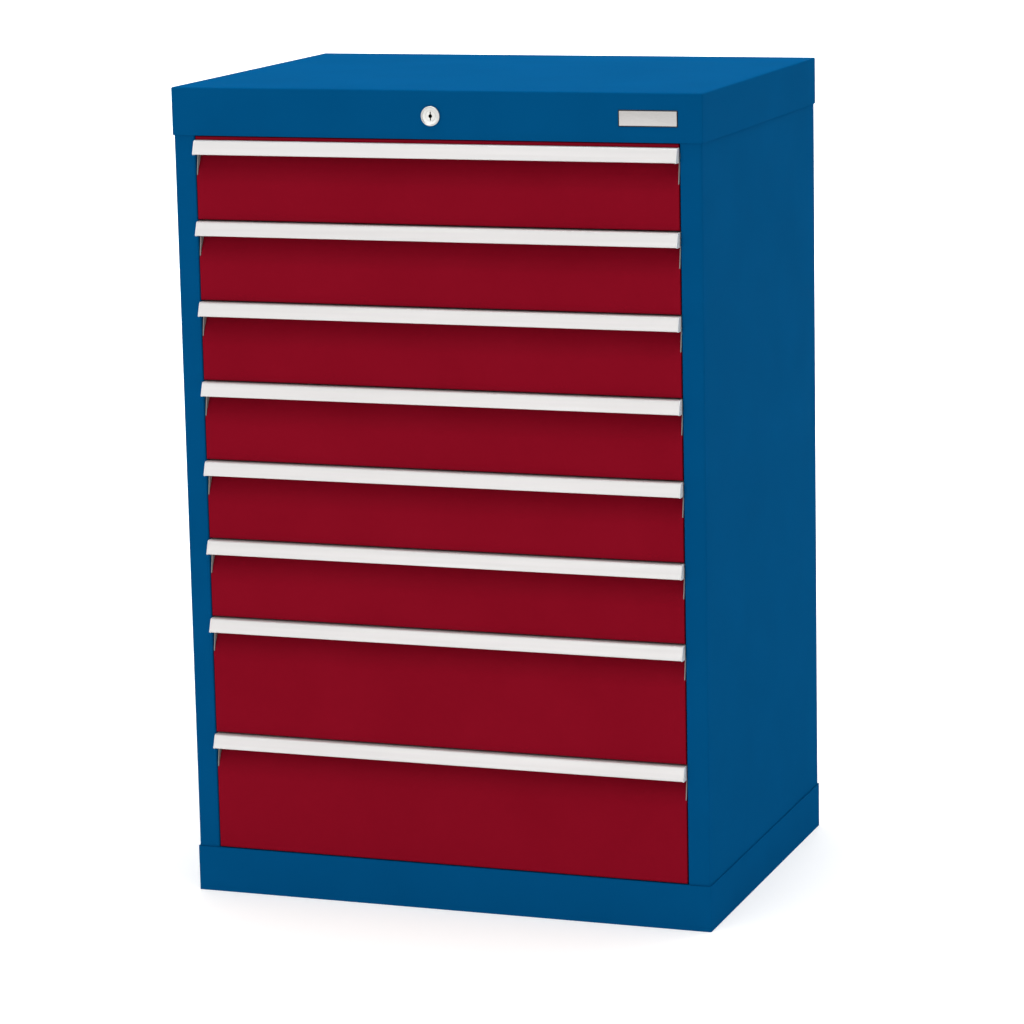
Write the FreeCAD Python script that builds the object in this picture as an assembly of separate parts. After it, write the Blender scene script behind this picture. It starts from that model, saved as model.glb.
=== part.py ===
import FreeCAD, Part
import math
import os

# Overall sizes of the cabinet in millimetres
cabinet_width = 680.0
cabinet_depth = 500.0
plinth_height = 57.5
fascia_height = 59.0

# Front heights from the top drawer down, each with its share of the gaps
drawer_pitches = [100.0, 100.0, 100.0, 100.0, 100.0, 100.0, 150.0, 150.0]
top_crown = 4.5

# Folded sheet steel of the housing
sheet = 1.5
inside_bend = 1.0
corner_radius = 2.0
stile_width = 29.0
stile_return = 18.0
rear_flange = 25.0
fascia_return = 12.0
floor_flange = 20.0
deck_flange = 15.0
back_flange = 15.0
panel_play = 0.5

# Slotted uprights
post_setback = 38.0
post_width = 40.0
slot_pitch = 50.0
slot_width = 4.0
slot_height = 17.0
slot_edge = 10.0

# Telescopic slides: cabinet rail, middle rail and drawer runner in one gap beside the tray
slide_gap = 13.0
slide_length = 430.0
slide_setback = 25.0
slide_height = 45.0
slide_sheet = 1.5
slide_lift = 24.0
ball_race = 3.0
running_clearance = 0.1
runner_width = 5.5
web_play = 3.0
cabinet_lip_play = 2.0
middle_lip_play = 2.5
race_end_play = 5.0
full_travel = 400.0

# Hooks that hang a cabinet rail in the uprights
hook_width = 3.0
hook_height = 10.0
hook_drop = 6.0
hook_reach = 4.0

# Drawer trays
tray_sheet = 1.2
tray_lift = 8.0
tray_clearance = 25.0
hem_width = 3.0
hem_height = 8.0

# Folded drawer fronts with a finger scoop behind the grip
front_gap = 2.0
side_gap = 1.2
front_depth = 20.0
front_top_lip = 22.0
front_bottom_lip = 15.0
front_bend = 0.0
scoop_bend = 40.0
front_chamfer = 0.7
scoop_height = 43.0
scoop_depth = 16.0
scoop_back = 15.0

# Extruded grip rails and their end caps
grip_projection = 12.0
grip_drop = 16.5
grip_nose = 6.0
grip_wall = 2.0
grip_leg = 14.0
grip_bend = 0.8
grip_lip_radius = 1.2
cap_wall = 1.2
cap_play = 0.3
cap_lip = 1.2
cheek_setback = 3.0
cheek_step = 1.5
cheek_tip = 0.6

# Cylinder lock in the middle of the fascia
lock_x = 0.0
lock_drop = 31.0
rosette_radius = 12.0
rosette_height = 2.5
rim_width = 1.3
rim_chamfer = 0.5
rosette_recess = 1.3
lock_body_radius = 9.5
lock_body_length = 16.0
barrel_radius = 6.5
barrel_proud = 0.2
round_clearance = 0.05
key_slot_width = 1.2
key_slot_height = 7.0
key_bore_radius = 1.6
key_depth = 9.0
nut_across_flats = 24.0
nut_height = 4.0

# Cam on the back of the barrel
cam_radius = 10.0
cam_sheet = 3.0
cam_hub_radius = 7.5
cam_arm_radius = 4.5
cam_gap = 0.5
tail_size = 7.0
tail_play = 0.1
pin_radius = 2.5
cam_screw_radius = 2.0
cam_screw_length = 8.0
cam_screw_across_flats = 8.0
cam_head_height = 2.6

# Flat link that carries the cam's stroke to the right-hand upright
link_gap = 2.0
link_sheet = 3.0
link_lift = 3.0
link_drop = 5.6
link_tail = 15.0
fork_play = 0.5
slant_play = 0.3
link_margin = 4.2
keeper_from_lock = 80.0
keeper_from_head = 30.0
keeper_width = 12.0
keeper_wall = 3.0
keeper_floor = 2.0
keeper_play = 0.2

# Locking rod behind the right-hand stile
rod_width = 8.0
rod_sheet = 6.0
rod_gap = 1.0
rod_inset = 4.0
rod_floor_gap = 5.0
rod_pin_inset = 10.0
rod_arm_half_height = 6.0
rod_arm_margin = 8.0
guide_height = 14.0
guide_wall = 3.5
guide_lip = 1.5
guide_lift = 14.0
guided_drawers = [1, 3, 6, 8]

# Catches on the rod and lugs on the trays
catch_height = 10.0
catch_slope = 3.0
catch_reach = 12.0
catch_lift = 48.0
lug_gap = 1.0
lug_pass = 2.0
lug_height = 12.0
lug_reach = 9.0
lug_tab = 3.0
lug_foot = 24.0

# Blank plate at the right end of the fascia
plate_width = 72.0
plate_height = 17.5
plate_sheet = 0.8
plate_radius = 1.2
plate_inset = 2.0

# Places that follow from the sizes above. The origin is the middle of the floor under everything
grip_overhang = grip_projection - sheet
front_y = grip_overhang - (cabinet_depth + grip_overhang) / 2
back_y = front_y + cabinet_depth
face_y = front_y + sheet
side_x = cabinet_width / 2
skin_x = side_x - sheet
opening_x = side_x - stile_width
opening_top = plinth_height + sum(drawer_pitches) + top_crown
cabinet_height = opening_top + fascia_height
ceiling_z = cabinet_height - sheet
panel_top = ceiling_z - inside_bend

front_x = opening_x - side_gap
tray_x = opening_x - slide_gap
tray_y = face_y + front_depth
slide_y = face_y + slide_setback
tray_depth = slide_y + slide_length - tray_y
runner_lip_x = tray_x + runner_width
middle_web_x = opening_x - slide_sheet - web_play
cabinet_lip_x = tray_x + cabinet_lip_play
middle_lip_x = tray_x + middle_lip_play
middle_half_height = slide_height / 2 - slide_sheet - ball_race
runner_half_height = middle_half_height - slide_sheet - ball_race
retainer_length = slide_length - full_travel / 2 - 2 * race_end_play

lock_z = cabinet_height - lock_drop
lock_rear_y = front_y + lock_body_length
cam_y = lock_rear_y + cam_gap
link_y = cam_y + cam_sheet + link_gap
link_top_z = lock_z - link_drop
link_bottom_z = opening_top + link_lift
swing = math.radians(45.0)
lock_travel = 2 * cam_radius * math.sin(swing)

rod_x = opening_x + rod_inset
rod_pin_x = opening_x - rod_pin_inset
rod_y = link_y + link_sheet + rod_gap
link_head_margin = pin_radius + slant_play + link_margin
link_head_x = rod_pin_x - link_head_margin
rod_pin_z = link_bottom_z + link_head_margin
lug_y = rod_y + rod_sheet + lug_gap


# Outline work shared by the folded, extruded and stamped pieces
def side_view(x):
    return lambda a, b: FreeCAD.Vector(x, a, b)


def front_view(y):
    return lambda a, b: FreeCAD.Vector(a, y, b)


def plan_view(z):
    return lambda a, b: FreeCAD.Vector(a, b, z)


def arc_at(before, corner, after, radius):
    """Start, middle and end of the arc that rounds one corner of a flat outline."""
    to_before = (before - corner).normalize()
    to_after = (after - corner).normalize()
    half_angle = to_before.getAngle(to_after) / 2
    bisector = (to_before + to_after).normalize()
    run = radius / math.tan(half_angle)
    reach = radius / math.sin(half_angle) - radius
    return corner + to_before * run, corner + bisector * reach, corner + to_after * run


def prism(corners, place, depth):
    """Solid from a closed outline of (a, b) or (a, b, radius) corners, pushed along depth."""
    points = [place(corner[0], corner[1]) for corner in corners]
    radii = [corner[2] if len(corner) > 2 else 0.0 for corner in corners]
    edges = []
    first = None
    last = None
    for index, point in enumerate(points):
        if radii[index] > 0:
            before = points[index - 1]
            after = points[(index + 1) % len(points)]
            start, middle, end = arc_at(before, point, after, radii[index])
        else:
            start, middle, end = point, None, point
        if last is not None and last.distanceToPoint(start) > 1e-6:
            edges.append(Part.LineSegment(last, start).toShape())
        if middle is not None:
            edges.append(Part.Arc(start, middle, end).toShape())
        if first is None:
            first = start
        last = end
    if last.distanceToPoint(first) > 1e-6:
        edges.append(Part.LineSegment(last, first).toShape())
    return Part.Face(Part.Wire(edges)).extrude(depth)


def parallel(path, distance):
    """The path shifted to its left by distance, with mitred corners."""
    normals = []
    for start, end in zip(path, path[1:]):
        length = math.hypot(end[0] - start[0], end[1] - start[1])
        normals.append(((start[1] - end[1]) / length, (end[0] - start[0]) / length))
    shifted = []
    for index, corner in enumerate(path):
        n0 = normals[max(index - 1, 0)]
        n1 = normals[min(index, len(normals) - 1)]
        scale = distance / (1 + n0[0] * n1[0] + n0[1] * n1[1])
        shifted.append((corner[0] + (n0[0] + n1[0]) * scale, corner[1] + (n0[1] + n1[1]) * scale))
    return shifted


def folded(path, thickness):
    """Outline of sheet folded along a path of (a, b) or (a, b, inside radius) corners.

    The metal lies on the path's left. A corner with no radius stays square inside and out.
    """
    inner = parallel(path, thickness)
    near = []
    far = []
    for index, corner in enumerate(path):
        before = path[max(index - 1, 0)]
        after = path[min(index + 1, len(path) - 1)]
        turn = ((corner[0] - before[0]) * (after[1] - corner[1])
                - (corner[1] - before[1]) * (after[0] - corner[0]))
        tight, wide = 0.0, 0.0
        if len(corner) > 2:
            tight, wide = corner[2], corner[2] + thickness
        near.append((corner[0], corner[1], wide if turn > 0 else tight))
        far.append(inner[index] + (tight if turn > 0 else wide,))
    return near + far[::-1]


def block(x, y, z):
    """Box from three (low, high) pairs."""
    corner = FreeCAD.Vector(x[0], y[0], z[0])
    return Part.makeBox(x[1] - x[0], y[1] - y[0], z[1] - z[0], corner)


def along_x(length):
    return FreeCAD.Vector(length, 0, 0)


def along_y(length):
    return FreeCAD.Vector(0, length, 0)


def along_z(length):
    return FreeCAD.Vector(0, 0, length)


def mirrored(shape):
    """The same piece on the other side of the cabinet."""
    return shape.mirror(FreeCAD.Vector(0, 0, 0), FreeCAD.Vector(1, 0, 0))


def disc(x, y, z, radius, length):
    """Round bar from y backwards, with its axis front to back."""
    return Part.makeCylinder(radius, length, FreeCAD.Vector(x, y, z), along_y(1))


def rounded_box(x, y, z, radius, open_z):
    """Box with every edge rounded but those that lie at the open height."""
    box = block(x, y, z)
    edges = [edge for edge in box.Edges if not all(abs(v.Z - open_z) < 1e-6 for v in edge.Vertexes)]
    return box.makeFillet(radius, edges)


def drawer_bottom(number):
    """Height of the line between this drawer and the one below it."""
    return plinth_height + sum(drawer_pitches[number:])


# Housing
def top_cover():
    """Hood folded from one sheet: flat top, skirts all round, and a return under the front skirt."""
    heights = (opening_top, cabinet_height)
    outside = rounded_box((-side_x, side_x), (front_y, back_y), heights, corner_radius, opening_top)
    hollow = block((-skin_x, skin_x), (face_y, back_y - sheet), (opening_top, ceiling_z))
    flange_x = opening_x - panel_play
    flange = block((-flange_x, flange_x), (face_y, face_y + fascia_return),
                   (opening_top, opening_top + sheet))
    lock_hole = disc(lock_x, front_y, lock_z, lock_body_radius + round_clearance, sheet)
    return outside.cut(hollow).fuse(flange).cut(lock_hole).removeSplitter()


def base_skirt():
    """Plinth ring with a flange turned in at the floor."""
    r = corner_radius
    plan = [(-side_x, front_y, r), (side_x, front_y, r), (side_x, back_y, r), (-side_x, back_y, r)]
    outside = prism(plan, plan_view(0), along_z(plinth_height))
    hollow = block((-skin_x, skin_x), (face_y, back_y - sheet), (sheet, plinth_height))
    rim_x = skin_x - floor_flange
    rim = block((-rim_x, rim_x), (face_y + floor_flange, back_y - sheet - floor_flange), (0, sheet))
    return outside.cut(hollow).cut(rim)


def base_deck():
    """Cabinet floor, a shallow pan turned down inside the plinth."""
    def slab(inset, top):
        return block((inset - skin_x, skin_x - inset), (face_y + inset, back_y - sheet - inset),
                     (plinth_height - deck_flange, top))
    return slab(0, plinth_height).cut(slab(sheet, plinth_height - sheet))


def right_side_panel():
    """Side sheet that folds round the front as the stile and round the back as a flange."""
    rear_y = back_y - sheet
    path = [(opening_x, face_y + stile_return), (opening_x, face_y, inside_bend),
            (skin_x, face_y, inside_bend), (skin_x, rear_y, inside_bend), (skin_x - rear_flange, rear_y)]
    return prism(folded(path, sheet), plan_view(plinth_height), along_z(panel_top - plinth_height))


def back_panel():
    """Rear sheet on the side panels' flanges, with its own edges folded forwards."""
    edge_x = skin_x - sheet - panel_play
    rear_y = back_y - 2 * sheet
    near_y = rear_y - sheet - back_flange
    path = [(edge_x, near_y), (edge_x, rear_y, inside_bend), (-edge_x, rear_y, inside_bend),
            (-edge_x, near_y)]
    return prism(folded(path, sheet), plan_view(plinth_height), along_z(ceiling_z - plinth_height))


def right_posts():
    """Front and rear uprights, channels with a column of slots on a fixed raster."""
    far_x = skin_x - sheet
    rear_post_y = slide_y + slide_length - post_width
    posts = []
    count = round(sum(drawer_pitches) / slot_pitch)
    for near_y in (face_y + post_setback, rear_post_y):
        path = [(far_x, near_y + post_width), (opening_x, near_y + post_width),
                (opening_x, near_y), (far_x, near_y)]
        post = prism(folded(path, sheet), plan_view(plinth_height), along_z(ceiling_z - plinth_height))
        middle_y = near_y + post_width / 2
        slots = []
        for row in range(count):
            low = slot_seat(plinth_height + row * slot_pitch)
            slots.append(block((opening_x, opening_x + sheet),
                               (middle_y - slot_width / 2, middle_y + slot_width / 2),
                               (low, low + slot_height)))
        posts.append(post.cut(Part.makeCompound(slots)))
    return posts


def slot_seat(bottom):
    """Height of the lower edge of the slot that belongs to a raster line."""
    return bottom + tray_lift + slide_lift - slot_edge


# Telescopic slides
def rail_section(middle_z, web_x, lip_x, half_height):
    """Channel that opens towards the tray."""
    path = [(lip_x, middle_z - half_height), (web_x, middle_z - half_height),
            (web_x, middle_z + half_height), (lip_x, middle_z + half_height)]
    return folded(path, slide_sheet)


def right_cabinet_rail(number):
    """Outer channel of one slide with a hook for each upright, seated in the slots."""
    bottom = drawer_bottom(number)
    middle_z = bottom + tray_lift + slide_lift
    section = rail_section(middle_z, opening_x, cabinet_lip_x, slide_height / 2)
    rail = prism(section, front_view(slide_y), along_y(slide_length))
    seat = slot_seat(bottom)
    post_ys = (face_y + post_setback + post_width / 2, slide_y + slide_length - post_width / 2)
    for middle_y in post_ys:
        span = (middle_y - hook_width / 2, middle_y + hook_width / 2)
        tab = block((opening_x, opening_x + hook_reach), span, (seat, seat + hook_height))
        claw = block((opening_x + sheet, opening_x + hook_reach), span,
                     (seat - hook_drop, seat + hook_height))
        rail = rail.fuse([tab, claw])
    return rail.removeSplitter()


def right_middle_rail(number):
    """Middle channel with its ball retainers: the outer pair at the rear, the inner pair in front."""
    middle_z = drawer_bottom(number) + tray_lift + slide_lift
    section = rail_section(middle_z, middle_web_x, middle_lip_x, middle_half_height)
    rail = prism(section, front_view(slide_y), along_y(slide_length))
    rear_end = slide_y + slide_length - race_end_play
    rear = (rear_end - retainer_length, rear_end)
    front = (slide_y + race_end_play, slide_y + race_end_play + retainer_length)

    def retainer(lip_x, y, low, high):
        return block((middle_lip_x, lip_x), y, (middle_z + low, middle_z + high))
    outer = middle_half_height
    inner = runner_half_height
    return [rail,
            retainer(middle_web_x, rear, outer, outer + ball_race - running_clearance),
            retainer(middle_web_x, rear, -outer - ball_race, -outer),
            retainer(runner_lip_x, front, inner + running_clearance, inner + ball_race),
            retainer(runner_lip_x, front, -inner - ball_race, -inner)]


def right_runner(number):
    """Inner channel of the slide, welded on the side of the tray and open away from it."""
    middle_z = drawer_bottom(number) + tray_lift + slide_lift
    path = [(runner_lip_x, middle_z + runner_half_height), (tray_x, middle_z + runner_half_height),
            (tray_x, middle_z - runner_half_height), (runner_lip_x, middle_z - runner_half_height)]
    return prism(folded(path, slide_sheet), front_view(slide_y), along_y(slide_length))


# Drawers
def tray(number):
    """Open tray with a folded hem round its rim."""
    bottom = drawer_bottom(number) + tray_lift
    top = drawer_bottom(number) + drawer_pitches[number - 1] - tray_clearance + tray_lift
    rear_y = tray_y + tray_depth

    def inset(distance, z):
        return block((distance - tray_x, tray_x - distance), (tray_y + distance, rear_y - distance), z)
    outside = inset(0, (bottom, top))
    inside = inset(tray_sheet, (bottom + tray_sheet, top - hem_height))
    mouth = inset(hem_width, (top - hem_height, top))
    return outside.cut(inside.fuse(mouth))


def lock_lug(number):
    """Angle on the right of the tray that the rod's catch stands in front of when locked."""
    low = drawer_bottom(number) + tray_lift + catch_lift + catch_height + lug_pass
    path = [(tray_x, lug_y + lug_foot), (tray_x, lug_y), (tray_x + lug_reach, lug_y),
            (tray_x + lug_reach, lug_y + lug_tab), (tray_x + slide_sheet, lug_y + lug_tab),
            (tray_x + slide_sheet, lug_y + lug_foot)]
    return prism(path, plan_view(low), along_z(lug_height))


def front_top(number):
    """Height of the grip's top on this drawer."""
    return drawer_bottom(number) + drawer_pitches[number - 1] - front_gap / 2


def front_path(number):
    """Side view of the front's outer surface, from the upper lip round to the lower one."""
    grip_z = front_top(number)
    low = drawer_bottom(number) + front_gap / 2
    rear_y = face_y + front_depth
    scoop_y = face_y + scoop_depth
    path = [(rear_y, grip_z - front_top_lip)]
    if number == 1:
        crown_z = grip_z + top_crown
        path += [(rear_y, crown_z), (face_y, crown_z, front_bend), (face_y, grip_z, front_bend)]
    else:
        path += [(rear_y, grip_z)]
    path += [(scoop_y, grip_z), (scoop_y, grip_z - scoop_back)]
    path += [(face_y, grip_z - scoop_height, scoop_bend)]
    path += [(face_y, low, front_bend), (rear_y, low), (rear_y, low + front_bottom_lip)]
    return path


def drawer_front(number):
    """Front folded from one sheet, drawn back under the grip as a scoop, with closed ends."""
    path = front_path(number)
    low = drawer_bottom(number) + front_gap / 2
    section = folded(path, sheet)
    skin = prism(section, side_view(-front_x), along_x(2 * front_x))
    ends = []
    rims = section[:len(path)]
    for x in (-front_x, front_x - sheet):
        ends.append(prism(rims, side_view(x), along_x(sheet)))
    shell = skin.fuse(ends).removeSplitter()
    corner = (front_x, face_y)
    near = (front_x - front_chamfer, face_y)
    waste = prism([near, corner, (front_x, face_y + front_chamfer)], plan_view(low),
                  along_z(path[1][1] - low))
    return shell.cut([waste, mirrored(waste)])


def drawer_grip(number):
    """Extruded rail: a leg on the back of the scoop, a roof, and a face that leans out to the lip."""
    top = front_top(number)
    path = [(face_y + scoop_depth, top - grip_leg), (face_y + scoop_depth, top),
            (face_y - grip_nose, top, grip_bend), (face_y - grip_projection, top - grip_drop)]
    corners = folded(path, grip_wall)
    lip = len(path) - 1
    corners[lip] = corners[lip][:2] + (grip_lip_radius,)
    half = front_x - cap_wall
    return prism(corners, side_view(-half), along_x(2 * half))


def right_grip_cap(number):
    """Moulded cheek that closes the end of the grip and follows the scoop's curve below it."""
    top = front_top(number)
    foot_z = top - scoop_height
    scoop_y = face_y + scoop_depth
    lip_y = face_y - grip_projection
    corners = [(scoop_y, top), (face_y - grip_nose, top, grip_bend + grip_wall),
               (lip_y, top - grip_drop), (lip_y + grip_wall, top - grip_drop - cap_lip),
               (face_y + cheek_setback, top - grip_drop - cheek_step),
               (face_y + cheek_tip, foot_z), (scoop_y, foot_z)]
    cheek = prism(corners, side_view(front_x - cap_wall), along_x(cap_wall))
    path = front_path(number)
    behind = prism(folded(path, sheet)[:len(path)], side_view(front_x - cap_wall), along_x(cap_wall))
    behind.translate(along_y(-cap_play))
    return cheek.cut(behind)


# Lock
def turned(profile, x, z):
    """Round piece from a profile of (radius, y) corners, turned about the lock's axis."""
    points = [FreeCAD.Vector(r, y, 0) for r, y in profile]
    face = Part.Face(Part.makePolygon(points + points[:1]))
    solid = face.revolve(FreeCAD.Vector(0, 0, 0), along_y(1), 360)
    solid.translate(FreeCAD.Vector(x, 0, z))
    return solid


def hexagon(y, across_flats, height):
    """Six-sided bar on the lock's axis, from y backwards."""
    reach = across_flats / math.sqrt(3)
    corners = []
    for step in range(6):
        angle = math.radians(60 * step)
        corners.append((lock_x + reach * math.cos(angle), lock_z + reach * math.sin(angle)))
    return prism(corners, front_view(y), along_y(height))


def lock_housing():
    """Rosette with a raised rim in front of the fascia and a neck behind it."""
    recess_y = front_y - rosette_height + rosette_recess
    top_y = front_y - rosette_height
    rim_in = rosette_radius - rim_width
    profile = [(barrel_radius, recess_y), (rim_in, recess_y), (rim_in, top_y),
               (rosette_radius - rim_chamfer, top_y), (rosette_radius, top_y + rim_chamfer),
               (rosette_radius, front_y), (lock_body_radius, front_y), (lock_body_radius, lock_rear_y),
               (barrel_radius, lock_rear_y)]
    return turned(profile, lock_x, lock_z)


def lock_nut():
    """Hexagon nut that clamps the lock against the back of the fascia."""
    nut = hexagon(face_y, nut_across_flats, nut_height)
    return nut.cut(disc(lock_x, face_y, lock_z, lock_body_radius + round_clearance, nut_height))


def lock_barrel():
    """Cylinder that the key turns, with a keyway in front and a square tail behind."""
    front = front_y - rosette_height + rosette_recess - barrel_proud
    radius = barrel_radius - round_clearance
    body = disc(lock_x, front, lock_z, radius, cam_y - front)
    half = tail_size / 2
    tail = block((lock_x - half, lock_x + half), (cam_y, cam_y + cam_sheet), (lock_z - half, lock_z + half))
    slot = block((lock_x - key_slot_width / 2, lock_x + key_slot_width / 2), (front, front + key_depth),
                 (lock_z - key_slot_height / 2, lock_z + key_slot_height / 2))
    bore = disc(lock_x, front, lock_z, key_bore_radius, key_depth)
    screw_hole = disc(lock_x, cam_y + cam_sheet - cam_screw_length, lock_z,
                      cam_screw_radius + round_clearance, cam_screw_length)
    return body.fuse(tail).cut(slot.fuse([bore, screw_hole]))


pin_x = lock_x + cam_radius * math.sin(swing)
pin_z = lock_z - cam_radius * math.cos(swing)


def lock_cam():
    """Stamped lever on the barrel's tail, with a pin riveted in its end."""
    hub = disc(lock_x, cam_y, lock_z, cam_hub_radius, cam_sheet)
    tip = disc(pin_x, cam_y, pin_z, cam_arm_radius, cam_sheet)
    across_x = cam_arm_radius * math.cos(swing)
    across_z = cam_arm_radius * math.sin(swing)
    corners = [(lock_x - across_x, lock_z - across_z), (pin_x - across_x, pin_z - across_z),
               (pin_x + across_x, pin_z + across_z), (lock_x + across_x, lock_z + across_z)]
    arm = prism(corners, front_view(cam_y), along_y(cam_sheet))
    half = tail_size / 2 + tail_play / 2
    hole = block((lock_x - half, lock_x + half), (cam_y, cam_y + cam_sheet), (lock_z - half, lock_z + half))
    pin = disc(pin_x, cam_y + cam_sheet, pin_z, pin_radius, link_gap + link_sheet + link_gap / 2)
    return hub.fuse([tip, arm]).removeSplitter().cut(hole).fuse(pin)


def cam_screw():
    """Hexagon screw that holds the cam on the tail."""
    head_y = cam_y + cam_sheet
    shank = disc(lock_x, head_y - cam_screw_length, lock_z, cam_screw_radius, cam_screw_length)
    return hexagon(head_y, cam_screw_across_flats, cam_head_height).fuse(shank)


def lock_link():
    """Flat bar with a fork round the cam's pin and a slanted slot round the rod's pin."""
    head_x = (link_head_x, rod_pin_x + lock_travel + link_head_margin)
    head_z = (link_bottom_z, rod_pin_z + lock_travel + link_head_margin)
    depth = (link_y, link_y + link_sheet)
    bar = block((lock_x - link_tail, head_x[1]), depth, (link_bottom_z, link_top_z))
    head = block(head_x, depth, head_z)
    fork_half = pin_radius + fork_play
    fork_low = lock_z - cam_radius
    fork = block((pin_x - fork_half, pin_x + fork_half), depth, (fork_low, link_top_z))
    fork_end = disc(pin_x, link_y, fork_low, fork_half, link_sheet)
    slot_radius = pin_radius + slant_play
    ends = [(rod_pin_x, rod_pin_z), (rod_pin_x + lock_travel, rod_pin_z + lock_travel)]
    side = slot_radius * math.sin(swing)
    corners = [(ends[0][0] - side, ends[0][1] + side), (ends[0][0] + side, ends[0][1] - side),
               (ends[1][0] + side, ends[1][1] - side), (ends[1][0] - side, ends[1][1] + side)]
    slant = prism(corners, front_view(link_y), along_y(link_sheet))
    slant = slant.fuse([disc(x, link_y, z, slot_radius, link_sheet) for x, z in ends])
    return bar.fuse(head).removeSplitter().cut(slant).cut(fork.fuse(fork_end))


def link_guides():
    """Blocks that hang from the hood, carry the link and let it slide sideways only."""
    guides = []
    for x in (lock_x + keeper_from_lock, link_head_x - keeper_from_head - keeper_width):
        span = (x, x + keeper_width)
        body = block(span, (link_y - keeper_wall, link_y + link_sheet + keeper_wall),
                     (link_bottom_z - keeper_floor, ceiling_z))
        way = block(span, (link_y - keeper_play, link_y + link_sheet + keeper_play),
                    (link_bottom_z, link_top_z + keeper_play))
        guides.append(body.cut(way))
    return guides


def lock_rod():
    """Upright bar with an arm and pin at the top and one catch for each drawer."""
    low = plinth_height + rod_floor_gap
    arm_top = rod_pin_z + rod_arm_half_height
    depth = (rod_y, rod_y + rod_sheet)
    bar = block((rod_x, rod_x + rod_width), depth, (low, arm_top))
    arm = block((rod_pin_x - rod_arm_margin, rod_x), depth, (rod_pin_z - rod_arm_half_height, arm_top))
    pin_length = rod_gap + link_sheet + link_gap / 2
    pin = disc(rod_pin_x, rod_y - pin_length, rod_pin_z, pin_radius, pin_length)
    pieces = [bar, arm, pin]
    for number in range(1, len(drawer_pitches) + 1):
        z = drawer_bottom(number) + tray_lift + catch_lift
        corners = [(rod_x, z), (rod_x, z + catch_height), (rod_x - catch_reach, z + catch_height),
                   (rod_x - catch_reach, z + catch_slope)]
        pieces.append(prism(corners, front_view(rod_y), along_y(rod_sheet)))
    return pieces


def rod_guides():
    """Blocks on the front upright that let the rod slide up and down only."""
    guides = []
    post_y = face_y + post_setback
    way_x = (rod_x - keeper_play, rod_x + rod_width + keeper_play)
    x = (way_x[0] - guide_lip, way_x[1] + guide_wall)
    way_y = (rod_y - keeper_play, rod_y + rod_sheet + keeper_play)
    for number in guided_drawers:
        low = drawer_bottom(number) + guide_lift
        heights = (low, low + guide_height)
        body = block(x, (way_y[0] - guide_wall, post_y), heights)
        guides.append(body.cut(block(way_x, way_y, heights)))
    return guides


# Plate
def blank_plate():
    """Thin plate with rounded corners on the fascia, its right end just inside the drawer opening's edge."""
    low = lock_z - plate_height / 2
    high = lock_z + plate_height / 2
    right = opening_x - plate_inset
    left = right - plate_width
    r = plate_radius
    corners = [(left, low, r), (right, low, r), (right, high, r), (left, high, r)]
    return prism(corners, front_view(front_y - plate_sheet), along_y(plate_sheet))


def save(name, *pieces):
    """Write one node's solids to its own file."""
    shape = pieces[0] if len(pieces) == 1 else Part.makeCompound(list(pieces))
    shape.exportStep(os.path.join("parts", name + ".step"))


os.makedirs("parts", exist_ok=True)

save("top_cover", top_cover())
save("base_skirt", base_skirt())
save("base_deck", base_deck())
save("right_side_panel", right_side_panel())
save("left_side_panel", mirrored(right_side_panel()))
save("back_panel", back_panel())
save("blank_plate", blank_plate())

posts = right_posts()
save("right_posts", *posts)
save("left_posts", *[mirrored(post) for post in posts])

drawer_numbers = range(1, len(drawer_pitches) + 1)
cabinet_rails = [right_cabinet_rail(number) for number in drawer_numbers]
save("right_cabinet_rails", *cabinet_rails)
save("left_cabinet_rails", *[mirrored(rail) for rail in cabinet_rails])

save("lock_housing", lock_housing())
save("lock_nut", lock_nut())
save("lock_barrel", lock_barrel())
save("lock_cam", lock_cam())
save("cam_screw", cam_screw())
save("lock_link", lock_link())
save("link_guides", *link_guides())
save("lock_rod", *lock_rod())
save("rod_guides", *rod_guides())

for number in drawer_numbers:
    name = "drawer_%d_" % number
    runner = right_runner(number)
    cap = right_grip_cap(number)
    middle = right_middle_rail(number)
    save(name + "front", drawer_front(number))
    save(name + "grip", drawer_grip(number))
    save(name + "grip_caps", cap, mirrored(cap))
    save(name + "tray", tray(number), runner, mirrored(runner), lock_lug(number))
    save(name + "middle_rails", *(middle + [mirrored(piece) for piece in middle]))
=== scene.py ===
import math

import bmesh
import bpy
from mathutils import Matrix, Vector


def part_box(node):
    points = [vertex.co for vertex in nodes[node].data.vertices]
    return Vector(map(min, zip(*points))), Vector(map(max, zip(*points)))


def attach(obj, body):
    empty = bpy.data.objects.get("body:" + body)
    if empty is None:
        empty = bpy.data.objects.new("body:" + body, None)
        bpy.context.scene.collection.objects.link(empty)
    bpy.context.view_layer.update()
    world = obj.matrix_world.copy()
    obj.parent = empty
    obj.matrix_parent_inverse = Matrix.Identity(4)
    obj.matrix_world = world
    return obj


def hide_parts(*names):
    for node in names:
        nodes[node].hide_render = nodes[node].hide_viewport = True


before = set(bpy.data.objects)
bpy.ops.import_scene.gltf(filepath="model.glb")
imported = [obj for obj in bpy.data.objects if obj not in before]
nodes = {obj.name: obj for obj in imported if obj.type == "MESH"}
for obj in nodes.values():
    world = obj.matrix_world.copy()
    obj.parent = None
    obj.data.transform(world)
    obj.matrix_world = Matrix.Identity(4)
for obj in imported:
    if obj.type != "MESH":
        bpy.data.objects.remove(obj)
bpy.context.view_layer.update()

# The photographer's place
# The camera stands to the right of the middle and a little above the top cover, and looks slightly
# down. It is a long lens far away, so that the uprights stay almost parallel. The picture is
# developed plainly, with no film curve, which keeps the paint as saturated as it is.
image_side = 1024
focal_length_px = 3973.6
sensor_side = 36.0
sight_reach = 60
camera_place = Vector((1.69542, -4.69612, 1.44882))
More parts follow.
